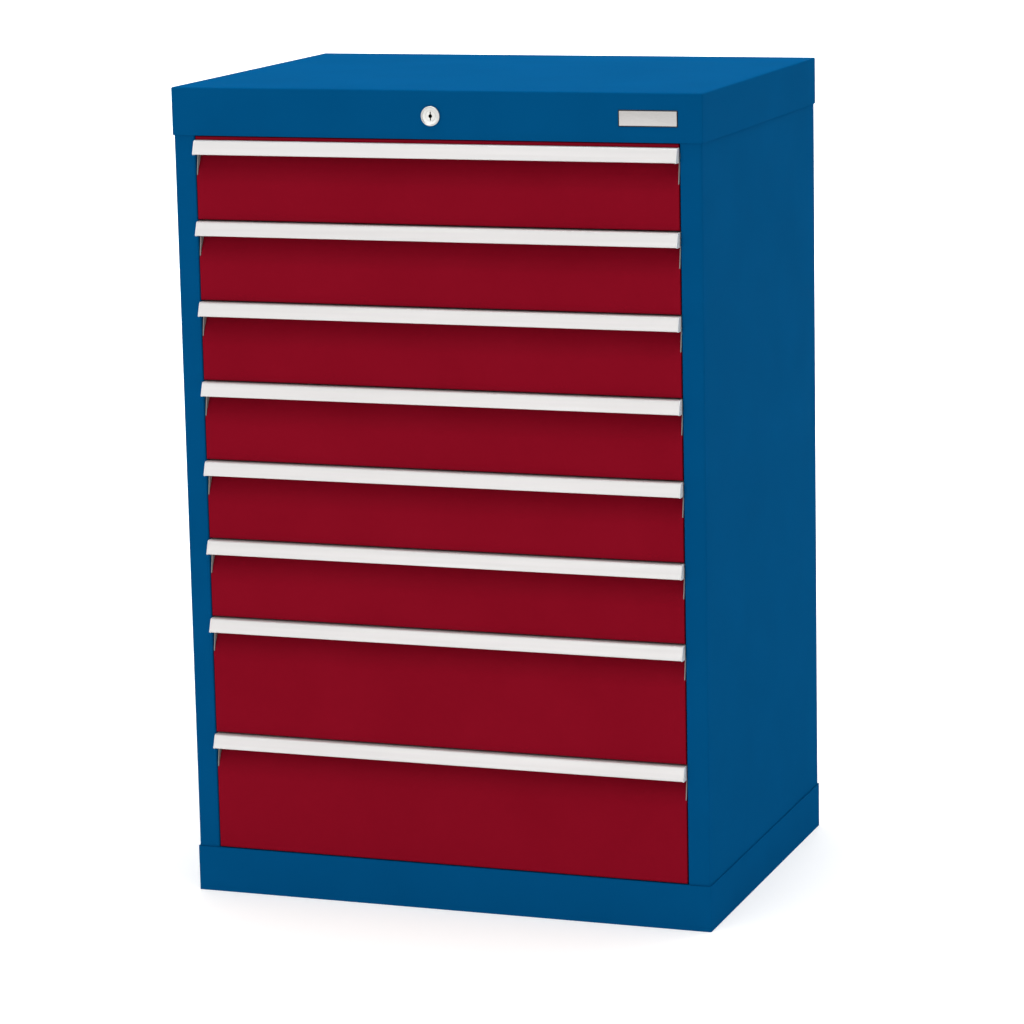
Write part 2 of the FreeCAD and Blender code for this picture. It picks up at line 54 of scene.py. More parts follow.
image_right = Vector((0.94206, 0.33483, -0.02022))
image_down = Vector((0.04647, -0.18997, -0.98069))
look_along = Vector((-0.33221, 0.92293, -0.19452))

lens = bpy.data.cameras.new("photograph")
lens.sensor_width = sensor_side
lens.lens = focal_length_px * sensor_side / image_side
lens.clip_end = sight_reach
camera = bpy.data.objects.new("photograph", lens)
turn = Matrix((image_right, -image_down, -look_along)).transposed()
camera.matrix_world = Matrix.Translation(camera_place) @ turn.to_4x4()
bpy.context.collection.objects.link(camera)
bpy.context.scene.camera = camera
bpy.context.scene.view_settings.view_transform = "Standard"


# The studio
# A floor of white paper curls up into a wall behind the cabinet and glows a little, so that it
# stays white. A wide soft box hangs over the top, weaker ones stand in front and on the right, one
# lights the paper wall, and the white room fills in the rest.
wall_place = 9.0
floor_reach = 40.0
wall_bend = 3.0
wall_height = 9.0
bend_steps = 24
floor_colour = (0.80, 0.80, 0.79, 1)
floor_roughness = 0.9
glow_colour = (1.0, 1.0, 1.0, 1)
floor_glow = 0.36
room_colour = (1.0, 1.0, 1.0, 1)
room_strength = 0.50


def paper_sweep():
    """The floor and the wall as one bent sheet."""
    mesh = bpy.data.meshes.new("paper_sweep")
    work = bmesh.new()
    line = [(-floor_reach, 0.0), (wall_place - wall_bend, 0.0)]
    for step in range(1, bend_steps + 1):
        angle = math.pi / 2 * step / bend_steps
        line.append((wall_place - wall_bend + wall_bend * math.sin(angle),
                     wall_bend - wall_bend * math.cos(angle)))
    line.append((wall_place, wall_height))
    rows = []
    for y, z in line:
        rows.append([work.verts.new((x, y, z)) for x in (-floor_reach, floor_reach)])
    for low, high in zip(rows, rows[1:]):
        face = work.faces.new((low[0], low[1], high[1], high[0]))
        face.smooth = True
    work.to_mesh(mesh)
    work.free()
    sweep = bpy.data.objects.new("paper_sweep", mesh)
    bpy.context.collection.objects.link(sweep)
    paper = bpy.data.materials.new("paper")
    paper.use_nodes = True
    shader = paper.node_tree.nodes["Principled BSDF"]
    shader.inputs["Base Color"].default_value = floor_colour
    shader.inputs["Roughness"].default_value = floor_roughness
    shader.inputs["Emission Color"].default_value = glow_colour
    shader.inputs["Emission Strength"].default_value = floor_glow
    mesh.materials.append(paper)


def soft_box(name, place, aim, width, height, power):
    """A rectangular lamp of a power in watts, turned to the point it is aimed at."""
    light = bpy.data.lights.new(name, "AREA")
    light.shape = "RECTANGLE"
    light.size = width
    light.size_y = height
    light.energy = power
    lamp = bpy.data.objects.new(name, light)
    lamp.location = place
    lamp.rotation_euler = (Vector(aim) - Vector(place)).to_track_quat("-Z", "Y").to_euler()
    bpy.context.collection.objects.link(lamp)


paper_sweep()
soft_box("top_box", place=(0.1, 0.0, 3.4), aim=(0, 0, 1.0), width=2.4, height=2.4, power=78)
soft_box("front_box", place=(-1.0, -3.8, 1.9), aim=(0, 0, 0.5), width=2.6, height=2.4, power=37)
soft_box("right_box", place=(3.8, -0.4, 1.5), aim=(0, 0, 0.5), width=2.4, height=2.4, power=4)
soft_box("paper_box", place=(0, 3.2, 5.5), aim=(0, wall_place, 2.5), width=5.0, height=2.0,
         power=900)
room = bpy.data.worlds.new("room")
bpy.context.scene.world = room
room.use_nodes = True
background = room.node_tree.nodes["Background"]
background.inputs["Color"].default_value = room_colour
background.inputs["Strength"].default_value = room_strength


# The housing
# Sheet steel 1.5 mm thick, folded and spot welded, with a fine-textured powder coat in deep blue.
# The coat has a slight orange peel and a fine grain, and it rounds the folds.
housing_blue = ((0.0003, 0.067, 0.189), (0.0005, 0.072, 0.202))
housing_gloss = (0.36, 0.46)
cloud_size = 0.11
peel_size = 0.0016
peel_depth = 0.00006
grain_size = 0.00035
grain_depth = 0.000015
coat_fold = 0.0005
clear_coat = 0.004
clear_coat_roughness = 0.28
noise_middle = (0.3, 0.7)
housing_nodes = ["top_cover", "base_skirt", "base_deck", "right_side_panel", "left_side_panel",
                 "back_panel"]


def start_finish(name):
    """A new material with its shader and the object's own coordinates."""
    finish = bpy.data.materials.new(name)
    finish.use_nodes = True
    tree = finish.node_tree
    place = tree.nodes.new("ShaderNodeTexCoord").outputs["Object"]
    return finish, tree, tree.nodes["Principled BSDF"], place


def noise(tree, place, size, detail=3.0, stretch=(1, 1, 1)):
    """Noise whose blobs are about size across, in metres, divided by stretch on each axis."""
    mapping = tree.nodes.new("ShaderNodeMapping")
    mapping.inputs["Scale"].default_value = tuple(factor / size for factor in stretch)
    tree.links.new(place, mapping.inputs["Vector"])
    texture = tree.nodes.new("ShaderNodeTexNoise")
    texture.inputs["Scale"].default_value = 1.0
    texture.inputs["Detail"].default_value = detail
    tree.links.new(mapping.outputs["Vector"], texture.inputs["Vector"])
    return texture.outputs["Fac"]


def spread(tree, value, low=0, high=1, middle=noise_middle):
    """The value's middle range carried to low and high."""
    ranger = tree.nodes.new("ShaderNodeMapRange")
    ranger.inputs["From Min"].default_value = middle[0]
    ranger.inputs["From Max"].default_value = middle[1]
    ranger.inputs["To Min"].default_value = low
    ranger.inputs["To Max"].default_value = high
    tree.links.new(value, ranger.inputs["Value"])
    return ranger.outputs["Result"]


def feed(tree, socket, value):
    """Link the socket to another one, or set it to a plain value."""
    if isinstance(value, bpy.types.NodeSocket):
        tree.links.new(value, socket)
    else:
        socket.default_value = value


def two_tones(tree, value, first, second):
    """A colour between first and second by the value, each a colour or a socket."""
    mix = tree.nodes.new("ShaderNodeMix")
    mix.data_type = "RGBA"
    for title, tone in (("A", first), ("B", second)):
        if not isinstance(tone, bpy.types.NodeSocket):
            tone = (*tone, 1)
        feed(tree, mix.inputs[title], tone)
    tree.links.new(value, mix.inputs["Factor"])
    return mix.outputs["Result"]


def relief(tree, heights, fold_radius):
    """Bumps of (value, depth in metres), one on another, over folds softened by their radius."""
    fold = tree.nodes.new("ShaderNodeBevel")
    fold.samples = 4
    fold.inputs["Radius"].default_value = fold_radius
    normal = fold.outputs["Normal"]
    for value, depth in heights:
        bump = tree.nodes.new("ShaderNodeBump")
        bump.inputs["Strength"].default_value = 1.0
        bump.inputs["Distance"].default_value = depth
        tree.links.new(value, bump.inputs["Height"])
        tree.links.new(normal, bump.inputs["Normal"])
        normal = bump.outputs["Normal"]
    return normal


def powder_coat(name, tones, gloss, fold_radius=coat_fold):
    """Baked powder paint: two close tones in broad clouds, orange peel and a fine grain."""
    finish, tree, shader, place = start_finish(name)
    clouds = noise(tree, place, cloud_size, detail=2.0)
    peel = noise(tree, place, peel_size, detail=2.0)
    grain = noise(tree, place, grain_size, detail=1.0)
    colour = two_tones(tree, spread(tree, clouds), *tones)
    surface = relief(tree, [(peel, peel_depth), (grain, grain_depth)], fold_radius)
    tree.links.new(colour, shader.inputs["Base Color"])
    tree.links.new(spread(tree, peel, *gloss), shader.inputs["Roughness"])
    tree.links.new(surface, shader.inputs["Normal"])
    tree.links.new(surface, shader.inputs["Coat Normal"])
    shader.inputs["Specular IOR Level"].default_value = 0.0
    shader.inputs["Coat Weight"].default_value = clear_coat
    shader.inputs["Coat Roughness"].default_value = clear_coat_roughness
    return finish


def dress(names, finish):
    """Give CAD pieces their material."""
    for name in names:
        for material_slot in nodes[name].material_slots:
            material_slot.material = finish


blue_coat = powder_coat("blue_powder_coat", housing_blue, housing_gloss)
dress(housing_nodes, blue_coat)


# The plug welds in the back
# The side sheets' rear flanges lap over the back sheet and are welded to it through rows of holes.
# The welds are ground and painted over, and each stays as a low round pad a little out of line.
weld_pitch = 0.075
welds_in_row = 12
weld_first_z = 0.09
weld_x = 0.326
weld_radius = 0.0035
weld_height = 0.0005
weld_wander = 0.0016
weld_seed = 7
weld_segments = 14
weld_rings = 8


def new_tree(name, inputs):
    """A node tree with named inputs that gives back one geometry."""
    tree = bpy.data.node_groups.new(name, "GeometryNodeTree")
    for title, kind in inputs:
        tree.interface.new_socket(title, in_out="INPUT", socket_type="NodeSocket" + kind)
    tree.interface.new_socket("Result", in_out="OUTPUT", socket_type="NodeSocketGeometry")
    given = tree.nodes.new("NodeGroupInput").outputs
    result = tree.nodes.new("NodeGroupOutput").inputs
    return tree, given, result


def node_in(tree, kind, **inputs):
    """A node in the tree, each input linked to a socket or set to a value."""
    node = tree.nodes.new(kind)
    for title, value in inputs.items():
        feed(tree, node.inputs[title], value)
    return node


def reckoned(tree, operation, first, second=0.0):
    """The result of one operation on two values, each a number or a socket."""
    node = tree.nodes.new("ShaderNodeMath")
    node.operation = operation
    feed(tree, node.inputs[0], first)
    feed(tree, node.inputs[1], second)
    return node.outputs[0]


def rows_of_spots(tree, places, count, **pitch):
    """Points in a row from each place, the pitch given along one axis."""
    step = node_in(tree, "ShaderNodeCombineXYZ", **pitch)
    row = node_in(tree, "GeometryNodeMeshLine", Count=count, Offset=step.outputs[0])
    rows = node_in(tree, "GeometryNodeInstanceOnPoints", Points=places, Instance=row.outputs[0])
    spots = node_in(tree, "GeometryNodeRealizeInstances", Geometry=rows.outputs[0])
    return spots.outputs[0]


def copies_at(tree, spots, shape, finish, **size):
    """Copies of the shape at the spots, as one smooth mesh in its finish."""
    copies = node_in(tree, "GeometryNodeInstanceOnPoints", Points=spots, Instance=shape, **size)
    whole = node_in(tree, "GeometryNodeRealizeInstances", Geometry=copies.outputs[0])
    smooth = node_in(tree, "GeometryNodeSetShadeSmooth", Geometry=whole.outputs[0])
    finished = node_in(tree, "GeometryNodeSetMaterial", Geometry=smooth.outputs[0],
                       Material=finish)
    return finished.outputs[0]


def grown(name, tree, places, values):
    """The mesh that the tree grows on some places, as a plain object with no modifier."""
    mesh = bpy.data.meshes.new(name + "_places")
    mesh.from_pydata(places, [], [])
    seedbed = bpy.data.objects.new(name + "_places", mesh)
    bpy.context.collection.objects.link(seedbed)
    growth = seedbed.modifiers.new(name, "NODES")
    growth.node_group = tree
    for item in tree.interface.items_tree:
        if item.in_out == "INPUT" and item.name in values:
            growth[item.identifier] = values[item.name]
    graph = bpy.context.evaluated_depsgraph_get()
    plain = bpy.data.meshes.new_from_object(seedbed.evaluated_get(graph))
    bpy.data.objects.remove(seedbed)
    piece = bpy.data.objects.new(name, plain)
    bpy.context.collection.objects.link(piece)
    return piece


def weld_rows():
    """Round pads in upright rows, one row from each place, each pad moved a little by chance."""
    tree, given, result = new_tree("weld_rows", [
        ("Places", "Geometry"), ("Welds in a row", "Int"), ("Pitch", "Float"),
        ("Radius", "Float"), ("Height", "Float"), ("Wander", "Float"), ("Seed", "Int"),
        ("Finish", "Material")])
    spots = rows_of_spots(tree, given["Places"], given["Welds in a row"], Z=given["Pitch"])
    chance = node_in(tree, "FunctionNodeRandomValue", Seed=given["Seed"])
    chance.data_type = "FLOAT_VECTOR"
    chance.inputs["Min"].default_value = (-1, 0, -1)
    chance.inputs["Max"].default_value = (1, 0, 1)
    shift = tree.nodes.new("ShaderNodeVectorMath")
    shift.operation = "SCALE"
    tree.links.new(chance.outputs["Value"], shift.inputs[0])
    tree.links.new(given["Wander"], shift.inputs["Scale"])
    moved = node_in(tree, "GeometryNodeSetPosition", Geometry=spots, Offset=shift.outputs[0])
    flatness = reckoned(tree, "DIVIDE", given["Height"], given["Radius"])
    squeeze = node_in(tree, "ShaderNodeCombineXYZ", X=1.0, Y=flatness, Z=1.0)
    pad = node_in(tree, "GeometryNodeMeshUVSphere", Segments=weld_segments, Rings=weld_rings,
                  Radius=given["Radius"])
    pads = copies_at(tree, moved.outputs[0], pad.outputs[0], given["Finish"],
                     Scale=squeeze.outputs[0])
    tree.links.new(pads, result["Result"])
    return tree


flange_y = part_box("right_side_panel")[1].y
weld_starts = [(side * weld_x, flange_y, weld_first_z) for side in (-1, 1)]
welds = grown("plug_welds", weld_rows(), weld_starts,
              {"Welds in a row": welds_in_row, "Pitch": weld_pitch, "Radius": weld_radius,
               "Height": weld_height, "Wander": weld_wander, "Seed": weld_seed,
               "Finish": blue_coat})
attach(welds, "cabinet")


# The slotted uprights, the fixed rails and the lock's bars
# Steel strip and profiles, bright zinc plated: a cool grey metal with cloudy spangle and the faint
# lines of the rolling mill, which run from front to back.
zinc_tones = ((0.40, 0.42, 0.45), (0.56, 0.57, 0.58))
zinc_gloss = (0.26, 0.42)
zinc_fold = 0.0003
spangle_size = 0.012
mill_line_size = 0.0006
mill_line_stretch = (1, 0.02, 1)
mill_line_depth = 0.00001
zinc_nodes = ["right_posts", "left_posts", "right_cabinet_rails", "left_cabinet_rails",
              "lock_nut", "lock_cam", "cam_screw", "lock_link", "lock_rod"]


def zinc_plate(name):
    """Bare bright metal: cloudy tones under straight, slightly rough lines."""
    finish, tree, shader, place = start_finish(name)
    spangle = noise(tree, place, spangle_size, detail=4.0)
    lines = noise(tree, place, mill_line_size, detail=2.0, stretch=mill_line_stretch)
    colour = two_tones(tree, spread(tree, spangle), *zinc_tones)
    surface = relief(tree, [(lines, mill_line_depth)], zinc_fold)
    tree.links.new(colour, shader.inputs["Base Color"])
    tree.links.new(spread(tree, lines, *zinc_gloss), shader.inputs["Roughness"])
    tree.links.new(surface, shader.inputs["Normal"])
    shader.inputs["Metallic"].default_value = 1.0
    return finish


bright_zinc = zinc_plate("bright_zinc")
dress(zinc_nodes, bright_zinc)


# The middle rails of the slides
# Channels roll-formed from 1.5 mm strip with round bends, one on each side of a drawer. Thin
# pressed cages lie along them: the outer pair at the rear, outside the channel, and the inner pair
# in front.
drawer_names = sorted(name[:-len("_front")] for name in nodes if name.endswith("_front"))
rail_width = 0.006
rail_sheet = 0.0015
rail_outside_bend = 0.0022
rail_inside_bend = 0.0007
race_height = 0.003
race_clearance = 0.0001
cage_length = 0.22
cage_thickness = 0.0008
cage_rounding = 0.45
cage_side_gap = 0.0004
cage_end_gap = 0.005
inner_cage_width = 0.003
sharp_degrees = 35


def softened(outline, steps=4):
    """A flat outline of (a, b) or (a, b, radius) corners as points, the round ones in steps."""
    points = []
    for index, corner in enumerate(outline):
        spot = Vector(corner[:2])
        if len(corner) < 3:
            points.append(tuple(spot))
            continue
        radius = corner[2]
        back = (Vector(outline[index - 1][:2]) - spot).normalized()
        ahead = (Vector(outline[(index + 1) % len(outline)][:2]) - spot).normalized()
        half = back.angle(ahead) / 2
        centre = spot + (back + ahead).normalized() * (radius / math.sin(half))
        start = spot + back * (radius / math.tan(half)) - centre
        end = spot + ahead * (radius / math.tan(half)) - centre
        first = math.atan2(start.y, start.x)
        sweep = (math.atan2(end.y, end.x) - first + math.pi) % (2 * math.pi) - math.pi
        for step in range(steps + 1):
            angle = first + sweep * step / steps
            points.append((centre.x + radius * math.cos(angle),
                           centre.y + radius * math.sin(angle)))
    return points


def soft_rectangle(x, z, radius, steps=4):
    """Outline of a rectangle with round corners, between two x and two z."""
    return softened([(x[0], z[0], radius), (x[1], z[0], radius), (x[1], z[1], radius),
                     (x[0], z[1], radius)], steps)


def ring_of(work, points, y):
    """One closed ring of corners in the mesh, from an outline seen from the front."""
    return [work.verts.new((x, y, z)) for x, z in points]


def skin_over(work, rings, closed_front=True, closed_back=True):
    """Faces from each ring to the next, and over the first and last."""
    for ring, after in zip(rings, rings[1:]):
        for index in range(len(ring)):
            beside = (index + 1) % len(ring)
            work.faces.new((ring[index], ring[beside], after[beside], after[index]))
    if closed_front:
        work.faces.new(rings[0])
    if closed_back:
        work.faces.new(rings[-1])


def made(name, work, finish, body, paint, *replaced):
    """Make the mesh a finished piece on its body, smooth but for its edges."""
    bmesh.ops.recalc_face_normals(work, faces=work.faces)
    mesh = bpy.data.meshes.new(name)
    work.to_mesh(mesh)
    work.free()
    mesh.shade_smooth()
    mesh.set_sharp_from_angle(angle=math.radians(sharp_degrees))
    mesh.materials.append(finish)
    piece = bpy.data.objects.new(name, mesh)
    bpy.context.collection.objects.link(piece)
    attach(piece, body)
    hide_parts(*replaced)


def channel_place(drawer):
    """The box of a drawer's middle rails, and the channel's middle and half its height."""
    low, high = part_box(drawer + "_middle_rails")
    half = (high.z - low.z) / 2 - race_height + race_clearance
    return low, high, (low.z + high.z) / 2, half


def strip(work, side, x, z, y):
    """A thin bar with rounded edges along the slide, on one side of the cabinet."""
    radius = min(x[1] - x[0], z[1] - z[0]) * cage_rounding
    outline = [(side * a, b) for a, b in soft_rectangle(x, z, radius, steps=2)]
    skin_over(work, [ring_of(work, outline, at) for at in y])


def rolled_rails(drawer):
    """Both middle rails of a drawer with their cages."""
    low, high, middle, half = channel_place(drawer)
    lip_x = high.x - rail_width
    web_x = high.x - rail_sheet
    channel = softened([
        (lip_x, middle - half),
        (high.x, middle - half, rail_outside_bend),
        (high.x, middle + half, rail_outside_bend),
        (lip_x, middle + half),
        (lip_x, middle + half - rail_sheet),
        (web_x, middle + half - rail_sheet, rail_inside_bend),
        (web_x, middle - half + rail_sheet, rail_inside_bend),
        (lip_x, middle - half + rail_sheet)])
    rear = (high.y - cage_end_gap - cage_length, high.y - cage_end_gap)
    front = (low.y + cage_end_gap, low.y + cage_end_gap + cage_length)
    outer_x = (lip_x + cage_side_gap, high.x - cage_side_gap)
    inner_x = (lip_x + cage_side_gap, lip_x + inner_cage_width - cage_side_gap / 2)
    work = bmesh.new()
    for side in (-1, 1):
        outline = [(side * a, b) for a, b in channel]
        skin_over(work, [ring_of(work, outline, at) for at in (low.y, high.y)])
        for way in (-1, 1):
            outer_z = middle + way * (half + race_height / 2)
            inner_z = middle + way * (half - rail_sheet - race_height / 2)
            for z, x, y in ((outer_z, outer_x, rear), (inner_z, inner_x, front)):
                strip(work, side, x, (z - cage_thickness / 2, z + cage_thickness / 2), y)
    made(drawer + "_rolled_rails", work, bright_zinc, drawer + "_middle", "zinc_steel",
         drawer + "_middle_rails")


for drawer in drawer_names:
    rolled_rails(drawer)


# The balls of the slides
# Rows of bearing steel balls in the cages, polished and bright, each row at one even pitch. They
# carry the middle rail on the fixed rail and the drawer's runner on the middle rail.
ball_radius = 0.00142
ball_segments = 8
ball_rings = 6
balls_in_row = 27
ball_pitch = 0.0079
row_inset = (cage_length - (balls_in_row - 1) * ball_pitch) / 2
outer_row_depth = 0.003
inner_row_depth = 0.0045
steel_tones = ((0.60, 0.60, 0.61), (0.68, 0.68, 0.68))
steel_gloss = (0.10, 0.18)
steel_fold = 0.0002
haze_size = 0.0008
haze_depth = 0.000002


def polished_steel(name):
    """Bright metal with a slight haze."""
    finish, tree, shader, place = start_finish(name)
    haze = noise(tree, place, haze_size, detail=2.0)
    colour = two_tones(tree, spread(tree, haze), *steel_tones)
    surface = relief(tree, [(haze, haze_depth)], steel_fold)
    tree.links.new(colour, shader.inputs["Base Color"])
    tree.links.new(spread(tree, haze, *steel_gloss), shader.inputs["Roughness"])
    tree.links.new(surface, shader.inputs["Normal"])
    shader.inputs["Metallic"].default_value = 1.0
    return finish


def ball_rows():
    """Balls in rows along the slide, one row from each place."""
    tree, given, result = new_tree("ball_rows", [
        ("Places", "Geometry"), ("Balls in a row", "Int"), ("Pitch", "Float"),
        ("Radius", "Float"), ("Finish", "Material")])
    spots = rows_of_spots(tree, given["Places"], given["Balls in a row"], Y=given["Pitch"])
    ball = node_in(tree, "GeometryNodeMeshUVSphere", Segments=ball_segments, Rings=ball_rings,
                   Radius=given["Radius"])
    balls = copies_at(tree, spots, ball.outputs[0], given["Finish"])
    tree.links.new(balls, result["Result"])
    return tree


ball_tree = ball_rows()
bright_steel = polished_steel("polished_bearing_steel")
for drawer in drawer_names:
    low, high, middle, half = channel_place(drawer)
    starts = []
    for side in (-1, 1):
        for way in (-1, 1):
            starts.append((side * (high.x - outer_row_depth),
                           high.y - cage_end_gap - cage_length + row_inset,
                           middle + way * (half + ball_radius)))
            starts.append((side * (high.x - inner_row_depth),
                           low.y + cage_end_gap + row_inset,
                           middle + way * (half - rail_sheet - ball_radius)))
    balls = grown(drawer + "_balls", ball_tree, starts,
                  {"Balls in a row": balls_in_row, "Pitch": ball_pitch, "Radius": ball_radius,
                   "Finish": bright_steel})
    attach(balls, drawer + "_middle")
    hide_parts(drawer + "_middle_rails")


# The guides of the link and the rod
# Blocks of natural white bearing plastic that the lock's link and rod slide in. They are moulded,
# with a matt eroded surface.
guide_tones = ((0.70, 0.69, 0.64), (0.76, 0.75, 0.71))
guide_gloss = (0.45, 0.6)
plastic_fold = 0.0003
plastic_cloud_size = 0.02
plastic_grain_size = 0.0004
plastic_grain_depth = 0.00002


def moulded_plastic(name, tones, gloss):
    """Plastic in two close tones with a fine grain from the mould."""
    finish, tree, shader, place = start_finish(name)
    clouds = noise(tree, place, plastic_cloud_size)
    grain = noise(tree, place, plastic_grain_size, detail=2.0)
    colour = two_tones(tree, spread(tree, clouds), *tones)
    surface = relief(tree, [(grain, plastic_grain_depth)], plastic_fold)
    tree.links.new(colour, shader.inputs["Base Color"])
    tree.links.new(spread(tree, grain, *gloss), shader.inputs["Roughness"])
    tree.links.new(surface, shader.inputs["Normal"])
    return finish


white_plastic = moulded_plastic("white_bearing_plastic", guide_tones, guide_gloss)
dress(["link_guides", "rod_guides"], white_plastic)


# The lock
# A cylinder lock in the middle of the top rail, zinc castings with satin nickel plating. The
# rosette is turned, with a rounded rim round a sunk face, and the barrel in it is slotted for a
# double-sided key.
nickel_tones = ((0.58, 0.575, 0.56), (0.66, 0.655, 0.64))
nickel_gloss = (0.28, 0.42)
nickel_metal = 0.9
nickel_fold = 0.0002
nickel_cloud_size = 0.004
turning_mark_size = 0.00022
turning_mark_depth = 0.000008
# Near-black painted shade inside the keyway, from just behind the barrel's front inwards.
keyway_painted_shade = (0.012, 0.011, 0.010)
keyway_shade_starts = 0.0002
keyway_shade_covers = 0.0010
rosette_low, rosette_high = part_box("lock_housing")
barrel_low, barrel_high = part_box("lock_barrel")
lock_axis = (rosette_low + rosette_high) / 2
turning_steps = 96
bore_radius = 0.0065
bore_edge = 0.0001
face_radius = 0.0103
face_corner = 0.0003
face_sunk = 0.0013
crest_radius = 0.0107
crest_edge = 0.0004
rim_edge = 0.0006
rim_height = 0.0025
neck_radius = 0.0095
barrel_chamfer = 0.0002
keyway_mouth = (0.0024, 0.0007, 0.0054)
keyway_inside = (0.0022, 0.0005, 0.0052)
keyway_chamfer = 0.0003
keyway_depth = 0.009
keyway_steps = 12
tail_length = 0.003
tail_half = 0.0035


def satin_nickel(name):
    """Satin plating over fine turning marks round the lock's axis, painted near black as painted
    shade deep in the keyway.
    """
    finish, tree, shader, place = start_finish(name)
    offset = tree.nodes.new("ShaderNodeVectorMath")
    offset.operation = "SUBTRACT"
    offset.inputs[1].default_value = lock_axis
    tree.links.new(place, offset.inputs[0])
    across = tree.nodes.new("ShaderNodeVectorMath")
    across.operation = "MULTIPLY"
    across.inputs[1].default_value = (1, 0, 1)
    tree.links.new(offset.outputs[0], across.inputs[0])
    reach = tree.nodes.new("ShaderNodeVectorMath")
    reach.operation = "LENGTH"
    tree.links.new(across.outputs[0], reach.inputs[0])
    along = node_in(tree, "ShaderNodeCombineXYZ", X=reach.outputs["Value"])
    marks = noise(tree, along.outputs[0], turning_mark_size, detail=2.0)
    clouds = noise(tree, place, nickel_cloud_size)
    plated = two_tones(tree, spread(tree, clouds), *nickel_tones)
    # Painted shade: near black deeper than just behind the barrel's front, inside the keyway.
    depth = node_in(tree, "ShaderNodeSeparateXYZ", Vector=place).outputs["Y"]
    deep_in_shade = spread(tree, depth, middle=(barrel_low.y + keyway_shade_starts,
                                          barrel_low.y + keyway_shade_covers))
    colour = two_tones(tree, deep_in_shade, plated, keyway_painted_shade)
    surface = relief(tree, [(marks, turning_mark_depth)], nickel_fold)
    tree.links.new(colour, shader.inputs["Base Color"])
    tree.links.new(spread(tree, marks, *nickel_gloss), shader.inputs["Roughness"])
    tree.links.new(surface, shader.inputs["Normal"])
    shader.inputs["Metallic"].default_value = nickel_metal
    return finish


def circle(radius):
    """Points round the lock's axis, seen from the front."""
    points = []
    for step in range(turning_steps):
        angle = 2 * math.pi * step / turning_steps
        points.append((lock_axis.x + radius * math.cos(angle),
                       lock_axis.z + radius * math.sin(angle)))
    return points


def rosette(finish):
    """Turned ring: its profile runs from the bore over the sunk face and the rim to the neck."""
    front, rear = rosette_low.y, rosette_high.y
    sunk, seat = front + face_sunk, front + rim_height
    rim_radius = rosette_high.x - lock_axis.x
    profile = softened([
        (bore_radius, rear), (bore_radius, sunk, bore_edge), (face_radius, sunk, face_corner),
        (crest_radius, front, crest_edge), (rim_radius, front, rim_edge), (rim_radius, seat),
        (neck_radius, seat), (neck_radius, rear)])
    work = bmesh.new()
    rings = [ring_of(work, circle(radius), y) for radius, y in profile]
    skin_over(work, rings + rings[:1], closed_front=False, closed_back=False)
    made("lock_rosette", work, finish, "cabinet", "lock_nickel", "lock_housing")


def keyway(bore, half_width, half_height):
    """Outline of the keyhole: a round bore with a slot above and below it."""
    lean = math.asin(half_width / bore)
    points = []
    for way in (1, -1):
        points += [(half_width * way, half_height * way), (-half_width * way, half_height * way)]
        for step in range(keyway_steps + 1):
            angle = math.pi / 2 * way + lean + (math.pi - 2 * lean) * step / keyway_steps
            points.append((bore * math.cos(angle), bore * math.sin(angle)))
    return [(lock_axis.x + a, lock_axis.z + b) for a, b in points]


def key_barrel(finish):
    """Barrel with a chamfered front edge, the keyway, and a square tail behind."""
    front, rear = barrel_low.y, barrel_high.y
    shoulder = rear - tail_length
    radius = barrel_high.x - lock_axis.x
    work = bmesh.new()
    shell = ((radius - barrel_chamfer, front), (radius, front + barrel_chamfer),
             (radius, shoulder))
    skin_over(work, [ring_of(work, circle(reach), y) for reach, y in shell], closed_front=False)
    hole = ((keyway_mouth, front), (keyway_inside, front + keyway_chamfer),
            (keyway_inside, front + keyway_depth))
    skin_over(work, [ring_of(work, keyway(*size), y) for size, y in hole], closed_front=False)
    border = [edge for edge in work.edges if len(edge.link_faces) == 1]
    bmesh.ops.triangle_fill(work, edges=border, use_beauty=True, use_dissolve=False)
    tail = [(lock_axis.x + a * tail_half, lock_axis.z + b * tail_half)
            for a, b in ((-1, -1), (1, -1), (1, 1), (-1, 1))]
    skin_over(work, [ring_of(work, tail, y) for y in (shoulder, rear)])
    made("key_barrel", work, finish, "lock_core", "lock_nickel", "lock_barrel")


nickel = satin_nickel("satin_nickel")
rosette(nickel)
key_barrel(nickel)


# The plate
# A thin pressed plate stuck on the right end of the top rail, left bare. Its rim stands up round a
# sunk field with a fine brushed grain, silver anodised. A dark band round the rim's outer edge is
# painted shadow, where the plate's edge meets the rail.
plate_silver = ((0.45, 0.435, 0.425), (0.52, 0.505, 0.495))
plate_gloss = (0.34, 0.46)
plate_metal = 0.45
plate_fold = 0.0002
plate_grain_size = 0.0003
plate_grain_stretch = (0.05, 1, 1)
plate_grain_depth = 0.000004
# A dark band of this width round the plate's edge is painted shadow.
painted_shadow_width = 0.0013
edge_painted_shadow_colour = (0.006, 0.008, 0.010)
plate_radius = 0.0012
plate_least_radius = 0.0004
rim_profile = ((0.0, 0.0004), (0.0003, 0.0001), (0.0009, 0.0), (0.0015, 0.0002))
past_ends = 0.0008
past_bottom = 0.0006
past_top = 0.0018
plate_low, plate_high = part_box("blank_plate")
plate_low = plate_low - Vector((past_ends, 0, past_bottom))
plate_high = plate_high + Vector((past_ends, 0, past_top))


